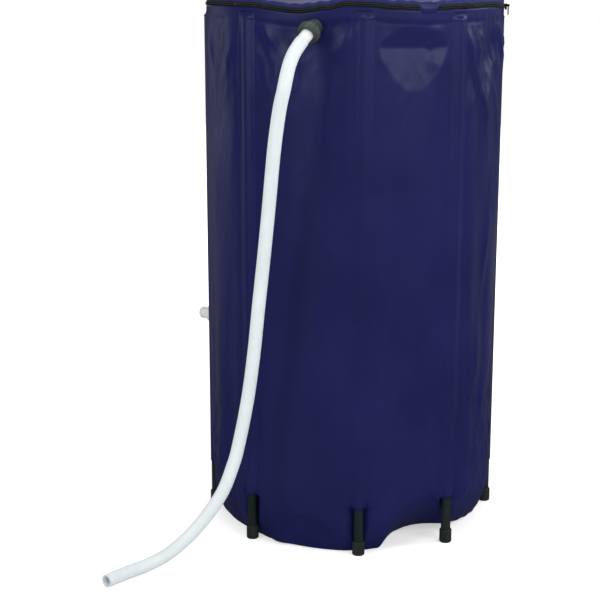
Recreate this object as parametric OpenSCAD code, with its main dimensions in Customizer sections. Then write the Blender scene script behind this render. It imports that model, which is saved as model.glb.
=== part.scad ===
// Collapsible water barrel: a coated-fabric cylinder with a zipped lid, held up
// by eight rods in sleeves, with a lift-out strainer, an overflow hose and a ball tap.
// The origin is the middle of the base on the floor. +Z is up and -Y is the front.
// Angles run from the front (-Y) towards the right (+X).

/* [Tank] */
// Outer diameter of the wall
tank_d = 437; // [420:1:460]
// Height of the zip's parting line above the floor
seam_h = 777; // [700:1:850]
// Thickness of the coated fabric
fabric_t = 0.8; // [0.6:0.1:1]
// How far the base panel's edge lies inside the wall's face
base_inset = 15.5; // [14.5:0.5:24]
// Height over which the wall draws in to the base panel
draw_h = 60; // [40:1:66]
// Width of the overlap strip down the wall's back seam
seam_strip_w = 22; // [12:1:40]
// Angle of the back seam
seam_strip_angle = 160; // [150:1:168]
// Depth of the deepest slack pocket under the rim
pocket_depth = 6.5; // [2:0.5:9]
// Height of a slack pocket
pocket_h = 100; // [60:5:160]
// Angle of the pleat that draws the foot in behind the second rod
pleat_angle = 32; // [28:1:36]
// Distance of the pleat's inner line from the tank's axis at the floor
pleat_in = 152; // [145:1:195]
// Height over which the pleat runs out
pleat_h = 76; // [60:1:78]
// Radius of the pleat's hollow
pleat_r = 95; // [60:1:110]

/* [Rods] */
// Outer diameter of a support rod
rod_d = 14; // [12:0.5:15]
// Wall of a rod's tube
rod_wall = 1.5; // [1:0.1:2.5]
// How far the rods' centres lie inside the wall's face
rod_sink = 4; // [3:0.5:5]
// Outer diameter of a foot cap
foot_d = 18; // [17:0.5:19]
// Height of a foot cap
foot_h = 20; // [12:1:30]
// Rubber under the rod's end in a foot cap
foot_floor_t = 4; // [2:0.5:6]
// Chamfer round the bottom of a foot cap
foot_chamfer = 1.2; // [0.5:0.1:1.6]
// Thickness of the head on a rod's top plug
plug_head_t = 3; // [2:0.5:5]
// Depth of a top plug inside the tube
plug_depth = 12; // [6:1:20]

/* [Sleeves] */
// Height of the sleeves' lower ends
sleeve_bottom_h = 70; // [68:1:120]
// Drop from the parting line to the sleeves' closed tops
sleeve_drop = 15; // [15:1:30]
// Width of each weld flange beside a sleeve
sleeve_flange_w = 12; // [8:1:16]

/* [Zip] */
// Height of each half of the zip's coil
coil_h = 2; // [1.6:0.1:2.4]
// How far the coil stands proud of the wall's face
coil_proud = 1.8; // [1.4:0.1:2]
// Overlap of the zip tape on the tank's wall
tape_overlap = 10; // [8:0.5:10]
// Bare tape between the coil and the fabric's edge
tape_show = 0.9; // [0.6:0.1:1.2]
// Angle of the hinge patch that joins the lid to the tank
hinge_angle = 27; // [27:1:30]
// Width of the hinge patch
hinge_w = 28; // [20:1:30]
// Angle from the patch's middle to each zip end stop
stop_angle = 16.5; // [16:0.5:18]
// Angle of the zip slider along the rim
slider_angle = 80; // [60:1:82]
// Width of the zip slider
slider_w = 11; // [8:0.5:14]
// Height of the zip slider's outer plate
slider_h = 8.5; // [7:0.1:9]
// Thickness of the slider's outer plate
slider_t = 2.2; // [1.6:0.1:3]
// Length of the pull tab below its pin
tab_l = 13.5; // [10:0.5:14]
// Width of the pull tab
tab_w = 7; // [5:0.5:8]
// Thickness of the pull tab
tab_t = 1.4; // [1:0.1:1.6]

/* [Lid and inlet] */
// Radius of the roll at the lid's edge
lid_edge_r = 4; // [3:0.5:6]
// Rise of the lid from its edge to its middle
lid_crown = 5; // [2:0.5:10]
// Depth of the deepest sag behind the lid's edge
sag_depth = 5; // [2:0.5:7]
// Radius of a sag's hollow
sag_r = 300; // [200:10:500]
// Inner diameter of the inlet ring
inlet_d = 132.6; // [110:0.1:150]
// Width of the inlet ring's flange
inlet_flange_w = 19; // [16:1:24]
// Thickness of the inlet ring's flange
inlet_flange_t = 3; // [2:0.1:4]
// Wall of the inlet ring's collar
inlet_wall = 4; // [3:0.1:5]
// Thickness of the clamp ring under the lid
clamp_t = 2.5; // [2:0.1:4]
// Number of rivets round the inlet
rivet_count = 8; // [6:1:12]
// Diameter of a rivet's shank
rivet_d = 3.6; // [3:0.1:4.4]
// Diameter of a rivet's head
rivet_head_d = 7; // [6:0.1:8]
// Height of a rivet's head
rivet_head_t = 1.4; // [1:0.1:2]

/* [Strainer] */
// Wall of the strainer basket
basket_wall = 2.2; // [1.6:0.1:3]
// Depth of the basket below its flange
basket_depth = 50; // [40:1:60]
// Width of the basket's flange outside its wall
basket_flange_w = 6; // [4:0.5:8]
// Thickness of the basket's flange
basket_flange_t = 2.4; // [2:0.1:4]
// Plain collar above the basket's slots
basket_collar_h = 20; // [14:1:24]
// How far the basket's wall draws in at the bottom
basket_draw = 6; // [2:0.5:8]
// Number of slots round the basket
basket_slots = 36; // [24:1:40]
// Width of a slot
slot_w = 6; // [4:0.2:7]
// Width of a rib in the basket's bottom grid
rib_w = 2; // [1.6:0.1:3]
// Number of rings in the basket's bottom grid
grid_rings = 5; // [3:1:6]
// Number of spokes in the basket's bottom grid
grid_spokes = 12; // [8:1:16]

/* [Overflow] */
// Angle of the overflow
overflow_angle = -14.3; // [-17:0.1:-12]
// Drop from the zip's parting line to the overflow's centre
overflow_drop = 26; // [26:1:200]
// Bore of the overflow
overflow_bore_d = 12; // [8:0.5:13]
// Outer diameter of the overflow's pipe
overflow_pipe_d = 17; // [15:0.5:18]
// Diameter of the overflow's flange
overflow_flange_d = 22; // [20:0.2:27]
// Thickness of the overflow's flange
overflow_flange_t = 3; // [2:0.5:4]
// Bend of the overflow's elbow
elbow_bend = 37; // [20:1:45]
// Radius of the elbow's bend at its middle
elbow_r = 14; // [12:1:20]
// Swing of the elbow from straight down towards the left
elbow_roll = 24; // [0:1:45]
// Diameter of the union nut
nut_d = 30; // [28:0.5:34]
// Length of the union nut
nut_l = 10.4; // [10:0.1:18]
// Number of grip ribs on the union nut
nut_ribs = 16; // [8:1:20]
// Length of the hose tail's shoulder outside the nut
tail_shoulder_l = 14.8; // [6:0.1:20]
// Length of the barbed spigot inside the hose
tail_barb_l = 22; // [15:1:30]

/* [Tap] */
// Angle of the tap
tap_angle = -116; // [-122:1:-110]
// Height of the tap's centre
tap_h = 280; // [120:1:400]
// Bore through the tap
tap_bore_d = 13; // [10:0.5:14]
// Diameter of the tap's flange
tap_flange_d = 36; // [34:1:44]
// Thickness of the tap's flange
tap_flange_t = 3; // [2:0.5:4]
// Length of the tap's neck between its flange and its housing
tap_neck_l = 6; // [4:0.5:12]
// Diameter of the tap's threaded shank
shank_d = 20; // [18:0.5:22]
// Diameter of the tap's ball
ball_d = 22; // [20:0.5:23]
// Outer diameter of the tap's ball housing
housing_d = 30; // [29:0.5:34]
// Length of the tap's ball housing
housing_l = 26; // [25:0.5:32]
// Diameter of the tap's nozzle
nozzle_d = 19.6; // [16:0.1:22]
// Length of the tap's nozzle
nozzle_l = 16; // [12:1:30]
// Diameter of the handle's spindle
spindle_d = 8; // [6:0.5:9]
// Length of the tap's lever from the spindle
lever_l = 34; // [25:1:45]
// Width of the tap's lever
lever_w = 11; // [8:0.5:14]
// Thickness of the tap's lever
lever_t = 4; // [3:0.5:6]

/* [Nuts and seals] */
// Thickness of a rubber gasket at its middle
gasket_t = 2; // [1.5:0.1:3]
// Thickness of a saddle washer inside the wall, at its middle
washer_t = 3; // [2.5:0.1:4]
// Thickness of a locknut inside the wall
locknut_t = 6; // [4:0.5:8]
// How far a shank stands through its locknut
shank_end = 1.5; // [0.5:0.5:4]
// Width across the flats of the overflow's locknut
overflow_nut_af = 22; // [20:0.5:24]
// Width across the flats of the tap's locknut
tap_nut_af = 30; // [27:0.5:34]

/* [Fits] */
// Clearance round a rod in its sleeve
rod_clearance = 0.3; // [0.2:0.05:0.5]
// Gap between the two halves of the zip
zip_gap = 0.3; // [0.2:0.05:0.4]
// Clearance of a piece that lifts out or slides
lift_clearance = 0.3; // [0.2:0.05:0.5]
// Running clearance of a spindle, a pin or a ball
running_clearance = 0.08; // [0.05:0.01:0.1]

/* [Hidden] */
rod_count = 8;
first_rod_angle = 3;
rod_pitch = 360 / rod_count;
// How far each rod stands out of its even place in the soft wall, in degrees
rod_offsets = [0, -7, 0, 0, 0, 0, 0, -1];
// Depth of the pocket between each rod and the next, as a share of the deepest.
// The seam's panel and the overflow's panel are taut
pocket_shares = [1, 0.5, 0.9, 0, 0.9, 0.75, 0.5, 0];
// Radius of a pocket's hollow
pocket_r = 250;
// Height of a pocket's steep upper part
pocket_lip_h = 24;
// Angle of each sag in the lid and its depth as a share of the deepest
lid_sags = [[25, 1], [60, 0.9], [-60, 0.5], [110, 0.8], [160, 0.6], [205, 0.9], [250, 0.6]];
rod_names = [for (i = [1 : rod_count]) str("support_rod_", i)];
foot_names = [for (i = [1 : rod_count]) str("foot_cap_", i)];
plug_names = [for (i = [1 : rod_count]) str("top_plug_", i)];

navy = [0.14, 0.15, 0.32];
black = [0.13, 0.15, 0.15];
grey = [0.32, 0.35, 0.35];
white = [0.9, 0.92, 0.92];
steel = [0.62, 0.63, 0.64];

round_fn = 180;
part_fn = 64;
small_fn = 32;
eps = 0.01;
over = 1;
// Half depth of the blocks and bores that cut through the wall
rim_reach = 20;

tank_r = tank_d / 2;
wall_in_r = tank_r - fabric_t;
base_r = tank_r - base_inset;
rod_r = rod_d / 2;
rod_ring_r = tank_r - rod_sink;
sleeve_bore_r = rod_r + rod_clearance;
foot_r = foot_d / 2;
groove_r = foot_r + rod_clearance;
sleeve_top_h = seam_h - sleeve_drop;
rod_top_h = sleeve_top_h - fabric_t - rod_clearance;
groove_half_w = sqrt(groove_r * groove_r - rod_sink * rod_sink);

coil_in_r = wall_in_r - fabric_t;
coil_out_r = tank_r + coil_proud;
tank_coil_top = seam_h - zip_gap / 2;
tank_coil_bottom = tank_coil_top - coil_h;
lid_coil_bottom = seam_h + zip_gap / 2;
lid_coil_top = lid_coil_bottom + coil_h;
wall_top_h = tank_coil_bottom - tape_show;
skirt_bottom_h = lid_coil_top + tape_show;
lid_roll_h = skirt_bottom_h + 2;
lid_edge_h = lid_roll_h + lid_edge_r;
lid_top_h = lid_edge_h + lid_crown;
pocket_top_h = sleeve_top_h - 6;

inlet_r = inlet_d / 2;
lid_hole_r = inlet_r + inlet_wall;
inlet_out_r = lid_hole_r + inlet_flange_w - inlet_wall;
inlet_top_h = lid_top_h + inlet_flange_t;
rivet_ring_r = (lid_hole_r + inlet_out_r) / 2;
// The lid slopes from its rolled edge to the inlet's flange, and its sags lie nearer the edge
lid_slope_out_r = tank_r - lid_edge_r;
lid_slope_in_r = inlet_out_r + 2;
sag_ring_r = (inlet_out_r + tank_r) / 2 + 20;
sag_face_h = lid_edge_h + lid_crown * (lid_slope_out_r - sag_ring_r) / (lid_slope_out_r - lid_slope_in_r);
basket_r = inlet_r - 2 * lift_clearance;
basket_in_r = basket_r - basket_wall;
basket_top_h = inlet_top_h + basket_flange_t;
basket_bottom_h = inlet_top_h - basket_depth;
basket_bottom_r = basket_in_r - basket_draw;
slot_top_h = inlet_top_h - basket_collar_h;
slot_bottom_h = basket_bottom_h + 2 * rib_w;

tab_pin_r = 0.9;
tab_pin_out = 2.2;
plate_in_r = coil_out_r + 0.6;
plate_out_r = plate_in_r + slider_t;
plate_bottom_h = seam_h + 3 - slider_h;
tab_pin_h = seam_h + 0.5;
tab_ring_r = plate_out_r + tab_pin_out;

overflow_pipe_r = overflow_pipe_d / 2;
overflow_h = seam_h - overflow_drop;
overflow_face = tank_r + gasket_t;
elbow_start = overflow_face + overflow_flange_t + 1;
union_r = overflow_pipe_r + 3;
union_l = 6;
tail_flange_t = 2.4;
bend_swell = 0.4;
nut_start = 0.8;
nut_end = nut_start + nut_l;
tail_end = nut_end + tail_shoulder_l;
locknut_face = wall_in_r - washer_t;

tap_face = tank_r + gasket_t;
ball_r = ball_d / 2;
cavity_r = ball_r + 0.4;
ball_out = tap_face + tap_flange_t + tap_neck_l + housing_l / 2;
housing_end = ball_out + housing_l / 2;
nozzle_start = housing_end + 4;
handle_base = housing_d / 2 + 5;
hub_h = 6;
// The spindle's tongue and the ball's slot it turns
tongue_w = 3;
tongue_gap = 0.2;
screw_d = 3;
screw_l = 8;

// Centre line of the overflow hose, from the tail's shoulder to its cut end on the floor
hose_d = 18.5;
hose_sides = 10;
hose_steps = 2;
hose_points = [
    [-69.9, -244, 734.1], [-73.4, -249.7, 729.7], [-80.3, -261.1, 718.5], [-85.7, -270, 704.5],
    [-89.6, -276, 688], [-93, -279, 671], [-97, -278, 654], [-101.5, -275, 627], [-107, -268, 585],
    [-114, -258, 515], [-121.5, -250, 445], [-129.5, -244, 375], [-137, -240, 305],
    [-147, -238, 235], [-161, -238, 166], [-169, -240, 139], [-179, -243, 112], [-190, -246, 92],
    [-205, -250, 70.5], [-223, -256, 49.5], [-243, -264, 31.5], [-265, -275, 17.5],
    [-289, -290, 10.5], [-312, -312, 9.5], [-335, -340, 9.5]];
hose_side_axis = [0.75, -0.66, 0];
// The route's heights stretch with the height of the hose tail's end, and its foot stays on the floor
tail_end_h = overflow_h - cos(elbow_roll) * (elbow_r * (1 - cos(elbow_bend)) + tail_end * sin(elbow_bend));
hose_foot_h = hose_points[len(hose_points) - 1][2];
hose_stretch = (tail_end_h - hose_foot_h) / (hose_points[0][2] - hose_foot_h);

// ---------- Places ----------

function rod_angle(i) = first_rod_angle + (i - 1) * rod_pitch + rod_offsets[i - 1];

module at_rod(i) {
    rotate([0, 0, rod_angle(i)]) translate([0, -rod_ring_r, 0]) children();
}

// Local +Z points out of the wall, +Y up
module at_wall(angle, height) {
    rotate([0, 0, angle]) translate([0, 0, height]) rotate([90, 0, 0]) children();
}

module at_overflow() {
    at_wall(overflow_angle, overflow_h) rotate([0, 0, -elbow_roll]) children();
}

// Local +Z runs out along the hose tail from the end of the elbow's bend
module at_tail() {
    at_overflow()
        translate([0, -elbow_r * (1 - cos(elbow_bend)), elbow_start + elbow_r * sin(elbow_bend)])
            rotate([elbow_bend, 0, 0]) children();
}

module at_tap() {
    at_wall(tap_angle, tap_h) children();
}

// ---------- Shared shapes ----------

module ring(outer_r, inner_r, bottom, top, fn = part_fn) {
    difference() {
        translate([0, 0, bottom]) cylinder(r = outer_r, h = top - bottom, $fn = fn);
        translate([0, 0, bottom - over]) cylinder(r = inner_r, h = top - bottom + 2 * over, $fn = fn);
    }
}

// A block through the rim, centred on an angle
module rim_block(angle, width, bottom, top) {
    rotate([0, 0, angle])
        translate([-width / 2, -tank_r - rim_reach, bottom]) cube([width, 2 * rim_reach, top - bottom]);
}

module rim_ring_with_gap(outer_r, inner_r, bottom, top, gap_w) {
    difference() {
        ring(outer_r, inner_r, bottom, top, round_fn);
        rim_block(hinge_angle, gap_w, bottom - over, top + over);
    }
}

// A washer that is flat on one side and fits the wall's curve on the other
module outer_saddle(radius, bore_r, flat_face) {
    difference() {
        translate([0, 0, tank_r - 2]) cylinder(r = radius, h = flat_face - tank_r + 2, $fn = part_fn);
        rotate([90, 0, 0]) cylinder(r = tank_r, h = 4 * radius, center = true, $fn = round_fn);
        cylinder(r = bore_r, h = tank_r + rim_reach, $fn = part_fn);
    }
}

module inner_saddle(radius, bore_r) {
    difference() {
        intersection() {
            translate([0, 0, locknut_face]) cylinder(r = radius, h = washer_t + over, $fn = part_fn);
            rotate([90, 0, 0]) cylinder(r = wall_in_r, h = 4 * radius, center = true, $fn = round_fn);
        }
        cylinder(r = bore_r, h = tank_r, $fn = part_fn);
    }
}

module locknut(across_flats, bore_r) {
    difference() {
        translate([0, 0, locknut_face - locknut_t])
            intersection() {
                cylinder(d = across_flats / cos(30), h = locknut_t, $fn = 6);
                cylinder(d1 = across_flats + 1, d2 = across_flats + 5, h = locknut_t, $fn = part_fn);
            }
        cylinder(r = bore_r, h = tank_r, $fn = part_fn);
    }
}

// ---------- Tank ----------

// Solid of revolution inside the wall's face, drawn in to the base over draw_h
module tank_form(inset, bottom, top) {
    draw_steps = 5;
    rotate_extrude($fn = round_fn)
        polygon(concat(
            [[0, bottom]], bottom < fabric_t ? [[base_r - inset, bottom]] : [],
            [for (k = [0 : draw_steps])
                let (a = 90 * k / draw_steps)
                    [base_r - inset + base_inset * sin(a), fabric_t + (draw_h - fabric_t) * (1 - cos(a))]],
            [[tank_r - inset, top], [0, top]]));
}

module rod_grooves(grow) {
    for (i = [1 : rod_count])
        at_rod(i) translate([0, 0, -over])
            cylinder(r = groove_r + grow, h = sleeve_top_h - fabric_t + grow + over, $fn = part_fn);
}

// Slack pockets between the rods: steep under the rim, then running out in a V
module slack_pockets(grow) {
    for (i = [1 : rod_count])
        if (pocket_shares[i - 1] > 0) {
            next_angle = i < rod_count ? rod_angle(i + 1) : rod_angle(1) + 360;
            depth = pocket_depth * pocket_shares[i - 1] + grow;
            rotate([0, 0, (rod_angle(i) + next_angle) / 2]) translate([0, -tank_r - pocket_r, 0])
                rotate_extrude($fn = round_fn)
                    polygon([[0, pocket_top_h], [pocket_r - over + grow, pocket_top_h],
                        [pocket_r + depth, pocket_top_h - pocket_lip_h],
                        [pocket_r - over + grow, pocket_top_h - pocket_h], [0, pocket_top_h - pocket_h]]);
        }
}

// Hollow pleat that draws the foot in: it leans out from the floor to the wall's face
module foot_pleat(grow) {
    lean = atan((tank_r - pleat_in) / pleat_h);
    rotate([0, 0, pleat_angle]) translate([0, -pleat_in - pleat_r / cos(lean), 0]) rotate([lean, 0, 0])
        cylinder(r = pleat_r + grow, h = tank_d, center = true, $fn = round_fn);
}

module tank_wall() {
    color(navy) difference() {
        tank_form(0, fabric_t, wall_top_h);
        rod_grooves(0);
        slack_pockets(0);
        foot_pleat(0);
        difference() {
            tank_form(fabric_t, fabric_t - over, wall_top_h + over);
            rod_grooves(fabric_t);
            slack_pockets(fabric_t);
            foot_pleat(fabric_t);
        }
        at_overflow() translate([0, 0, tank_r - rim_reach])
            cylinder(r = overflow_pipe_r, h = 2 * rim_reach, $fn = part_fn);
        at_tap() translate([0, 0, tank_r - rim_reach])
            cylinder(d = shank_d, h = 2 * rim_reach, $fn = part_fn);
    }
}

module base_panel() {
    color(navy) difference() {
        cylinder(r = base_r, h = fabric_t, $fn = round_fn);
        foot_pleat(0);
    }
}

module wall_seam_strip() {
    color(navy) intersection() {
        ring(tank_r + fabric_t, tank_r, draw_h, sleeve_top_h, round_fn);
        rim_block(seam_strip_angle, seam_strip_w, draw_h - over, sleeve_top_h + over);
    }
}

module rod_sleeve(i) {
    flange_half_w = groove_half_w + sleeve_flange_w;
    flange_bottom_h = sleeve_bottom_h + 2;
    flange_top_h = sleeve_top_h - 2;
    sleeve_h = sleeve_top_h - sleeve_bottom_h;
    difference() {
        union() {
            at_rod(i) translate([0, 0, sleeve_bottom_h])
                cylinder(r = sleeve_bore_r + fabric_t, h = sleeve_h, $fn = part_fn);
            intersection() {
                ring(tank_r + fabric_t, tank_r - over, sleeve_bottom_h - over, sleeve_top_h + over, round_fn);
                rim_block(rod_angle(i), 2 * flange_half_w, flange_bottom_h, flange_top_h);
            }
        }
        at_rod(i) translate([0, 0, sleeve_bottom_h - over])
            cylinder(r = sleeve_bore_r, h = sleeve_h - fabric_t + over, $fn = part_fn);
        translate([0, 0, sleeve_bottom_h - over])
            cylinder(r = tank_r, h = sleeve_h + 2 * over, $fn = round_fn);
    }
}

module rod_sleeves() {
    color(navy) for (i = [1 : rod_count]) rod_sleeve(i);
}

// ---------- Rods ----------

module support_rod(i) {
    rod_bottom = foot_floor_t;
    rod_end = rod_top_h - plug_head_t;
    color(black) at_rod(i) ring(rod_r, rod_r - rod_wall, rod_bottom, rod_end);
}

module foot_cap(i) {
    color(black) at_rod(i) rotate_extrude($fn = part_fn)
        polygon([[0, 0], [foot_r - foot_chamfer, 0], [foot_r, foot_chamfer], [foot_r, foot_h - 1],
            [foot_r - 1, foot_h], [rod_r, foot_h], [rod_r, foot_floor_t], [0, foot_floor_t]]);
}

module top_plug(i) {
    plug_r = rod_r - rod_wall;
    rod_end = rod_top_h - plug_head_t;
    plug_bottom = rod_end - plug_depth;
    color(black) at_rod(i) rotate_extrude($fn = part_fn)
        polygon([[0, plug_bottom], [plug_r - 1, plug_bottom], [plug_r, plug_bottom + 2], [plug_r, rod_end],
            [rod_r, rod_end], [rod_r, rod_top_h - 1], [rod_r - 1, rod_top_h], [0, rod_top_h]]);
}

// ---------- Zip ----------

module zip_tape_tank() {
    color(black)
        rim_ring_with_gap(wall_in_r, coil_in_r, tank_coil_bottom - tape_overlap, tank_coil_bottom, hinge_w);
}

module zip_coil_tank() {
    color(black) rim_ring_with_gap(coil_out_r, coil_in_r, tank_coil_bottom, tank_coil_top, hinge_w);
}

module zip_end_stops() {
    stop_w = 4;
    color(steel) for (side = [-1, 1])
        intersection() {
            ring(coil_out_r + 0.5, coil_out_r, tank_coil_bottom, tank_coil_top, round_fn);
            rim_block(hinge_angle + side * stop_angle, stop_w, tank_coil_bottom - over, seam_h);
        }
}

module lid_hinge_patch() {
    color(navy) intersection() {
        ring(tank_r, wall_in_r, wall_top_h, skirt_bottom_h - zip_gap, round_fn);
        rim_block(hinge_angle, hinge_w, wall_top_h - over, seam_h + 10);
    }
}

module zip_tape_lid() {
    color(black)
        rim_ring_with_gap(wall_in_r, coil_in_r, lid_coil_top, lid_roll_h, hinge_w + 4 * zip_gap);
}

module zip_coil_lid() {
    color(black)
        rim_ring_with_gap(coil_out_r, coil_in_r, lid_coil_bottom, lid_coil_top, hinge_w + 4 * zip_gap);
}

// The slider hooks under the tank's coil only, so the lid's half lifts away from it
module zip_slider() {
    hook_h = 1;
    ear_t = 1.4;
    ear_r = tab_pin_r + 0.9;
    ear_gap = tab_w + 2 * lift_clearance;
    color(steel) {
        intersection() {
            union() {
                ring(plate_out_r, plate_in_r, plate_bottom_h, plate_bottom_h + slider_h, round_fn);
                ring(plate_in_r + eps, tank_r + lift_clearance,
                    tank_coil_bottom - lift_clearance - hook_h, tank_coil_bottom - lift_clearance, round_fn);
            }
            rim_block(slider_angle, slider_w, plate_bottom_h - over, seam_h + 10);
        }
        rotate([0, 0, slider_angle]) translate([0, -tab_ring_r, tab_pin_h]) {
            for (side = [-1, 1]) translate([side * (ear_gap + ear_t) / 2, 0, 0]) {
                rotate([0, 90, 0]) cylinder(r = ear_r, h = ear_t, center = true, $fn = small_fn);
                translate([-ear_t / 2, 0, -ear_r]) cube([ear_t, tab_pin_out + 0.3, 2 * ear_r]);
            }
            rotate([0, 90, 0]) cylinder(r = tab_pin_r, h = ear_gap + ear_t, center = true, $fn = small_fn);
        }
    }
}

module pull_tab() {
    eye_r = tab_pin_r + running_clearance;
    blade_l = tab_l - tab_w / 2;
    hole_d = tab_w - 3.4;
    color(steel) rotate([0, 0, slider_angle]) translate([0, -tab_ring_r, tab_pin_h])
        difference() {
            union() {
                rotate([0, 90, 0]) cylinder(r = eye_r + 0.8, h = tab_w, center = true, $fn = small_fn);
                translate([-tab_w / 2, -tab_t / 2, -blade_l]) cube([tab_w, tab_t, blade_l]);
                translate([0, 0, -blade_l]) rotate([90, 0, 0])
                    cylinder(d = tab_w, h = tab_t, center = true, $fn = part_fn);
            }
            rotate([0, 90, 0]) cylinder(r = eye_r, h = tab_w + 2 * over, center = true, $fn = small_fn);
            translate([0, 0, -blade_l]) rotate([90, 0, 0])
                cylinder(d = hole_d, h = tab_t + 2 * over, center = true, $fn = small_fn);
        }
}

// ---------- Lid and inlet ----------

// Half section of the solid under the lid's upper face, offset inwards by the given depth
function lid_section(inset, bottom) = concat(
    [[0, bottom], [tank_r - inset, bottom]],
    [for (a = [0 : 15 : 90])
        [lid_slope_out_r + (lid_edge_r - inset) * cos(a), lid_roll_h + (lid_edge_r - inset) * sin(a)]],
    [[lid_slope_in_r, lid_top_h - inset], [0, lid_top_h - inset]]);

// The solid under the lid's upper face, with the slack sags behind its edge
module lid_form(inset, bottom) {
    difference() {
        rotate_extrude($fn = round_fn) polygon(lid_section(inset, bottom));
        for (sag = lid_sags)
            rotate([0, 0, sag[0]]) translate([0, -sag_ring_r, sag_face_h + sag_r - sag_depth * sag[1]])
                sphere(r = sag_r + inset, $fn = round_fn);
    }
}

module rivet_holes(bottom, top) {
    for (i = [0 : rivet_count - 1])
        rotate([0, 0, (i + 0.5) * 360 / rivet_count]) translate([0, -rivet_ring_r, bottom - over])
            cylinder(d = rivet_d, h = top - bottom + 2 * over, $fn = small_fn);
}

module lid_panel() {
    color(navy) difference() {
        lid_form(0, skirt_bottom_h);
        lid_form(fabric_t, skirt_bottom_h - over);
        cylinder(r = lid_hole_r, h = lid_top_h + over, $fn = round_fn);
        rivet_holes(lid_top_h - fabric_t, lid_top_h);
    }
}

module inlet_ring() {
    collar_drop = fabric_t + clamp_t + 2;
    color(black) difference() {
        rotate_extrude($fn = round_fn)
            polygon([[inlet_r, lid_top_h - collar_drop], [lid_hole_r, lid_top_h - collar_drop],
                [lid_hole_r, lid_top_h], [inlet_out_r, lid_top_h], [inlet_out_r, inlet_top_h - 1.5],
                [inlet_out_r - 1.5, inlet_top_h], [inlet_r + 1, inlet_top_h], [inlet_r, inlet_top_h - 1]]);
        rivet_holes(lid_top_h, inlet_top_h);
    }
}

module inlet_clamp_ring() {
    top = lid_top_h - fabric_t;
    color(black) difference() {
        ring(inlet_out_r, lid_hole_r, top - clamp_t, top, round_fn);
        rivet_holes(top - clamp_t, top);
    }
}

module inlet_rivets() {
    shank_bottom = lid_top_h - fabric_t - clamp_t;
    rivet_r = rivet_d / 2;
    head_r = rivet_head_d / 2;
    color(steel) for (i = [0 : rivet_count - 1])
        rotate([0, 0, (i + 0.5) * 360 / rivet_count]) translate([0, -rivet_ring_r, 0])
            rotate_extrude($fn = small_fn)
                polygon([[0, shank_bottom - 1], [head_r, shank_bottom - 1], [head_r, shank_bottom],
                    [rivet_r, shank_bottom], [rivet_r, inlet_top_h], [head_r, inlet_top_h],
                    [head_r * 0.8, inlet_top_h + rivet_head_t * 0.7],
                    [head_r * 0.4, inlet_top_h + rivet_head_t], [0, inlet_top_h + rivet_head_t]]);
}

// Rings and spokes of the basket's bottom. The outer ring is sunk in the basket's wall
module basket_grid() {
    grid_step = (basket_bottom_r + rib_w / 2 - rib_w) / grid_rings;
    for (k = [1 : grid_rings])
        ring(k * grid_step + rib_w, k * grid_step, basket_bottom_h, basket_bottom_h + rib_w);
    translate([0, 0, basket_bottom_h]) cylinder(r = 2 * rib_w, h = rib_w, $fn = part_fn);
    for (k = [0 : grid_spokes - 1])
        rotate([0, 0, k * 360 / grid_spokes])
            translate([-rib_w / 2, 0, basket_bottom_h])
                cube([rib_w, basket_bottom_r, rib_w]);
}

module strainer_basket() {
    seat_h = inlet_top_h + lift_clearance;
    slot_size = [slot_w, basket_wall + basket_draw + 3 * over, slot_top_h - slot_bottom_h - rib_w];
    color(black) {
        difference() {
            rotate_extrude($fn = round_fn)
                polygon([[basket_bottom_r, basket_bottom_h], [basket_bottom_r + basket_wall, basket_bottom_h],
                    [basket_r, slot_top_h], [basket_r, seat_h],
                    [basket_r + basket_flange_w, seat_h],
                    [basket_r + basket_flange_w, seat_h + basket_flange_t - 1],
                    [basket_r + basket_flange_w - 1, seat_h + basket_flange_t],
                    [basket_in_r, seat_h + basket_flange_t], [basket_in_r, slot_top_h]]);
            for (k = [0 : basket_slots - 1])
                rotate([0, 0, (k + 0.5) * 360 / basket_slots])
                    translate([-slot_w / 2, -basket_r - over, slot_bottom_h])
                        cube(slot_size);
        }
        basket_grid();
    }
}

// ---------- Overflow ----------

module overflow_gasket() {
    color(black) at_wall(overflow_angle, overflow_h)
        outer_saddle(overflow_flange_d / 2, overflow_pipe_r, overflow_face);
}

// A round bar along the elbow, a little thicker round the bend than at its straight ends
module elbow_bar(radius, shank_start, end_l) {
    at_overflow() {
        translate([0, 0, shank_start])
            cylinder(r = radius, h = elbow_start - shank_start + over / 2, $fn = part_fn);
        translate([0, -elbow_r, elbow_start]) rotate([90, 0, 90])
            rotate_extrude(angle = elbow_bend, $fn = round_fn)
                translate([elbow_r, 0]) circle(r = radius + bend_swell, $fn = part_fn);
    }
    at_tail() translate([0, 0, -over / 2]) cylinder(r = radius, h = end_l + over / 2, $fn = part_fn);
}

module overflow_elbow() {
    shank_start = locknut_face - locknut_t - shank_end;
    color(grey) difference() {
        union() {
            elbow_bar(overflow_pipe_r, shank_start, union_l);
            at_overflow() translate([0, 0, overflow_face])
                cylinder(d = overflow_flange_d, h = overflow_flange_t, $fn = part_fn);
            at_tail() translate([0, 0, nut_start])
                cylinder(r = union_r, h = union_l - nut_start, $fn = part_fn);
        }
        elbow_bar(overflow_bore_d / 2, shank_start - over, union_l + over);
    }
}

module overflow_washer() {
    color(black) at_wall(overflow_angle, overflow_h) inner_saddle(overflow_flange_d / 2, overflow_pipe_r);
}

module overflow_locknut() {
    color(grey) at_overflow() locknut(overflow_nut_af, overflow_pipe_r);
}

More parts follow.
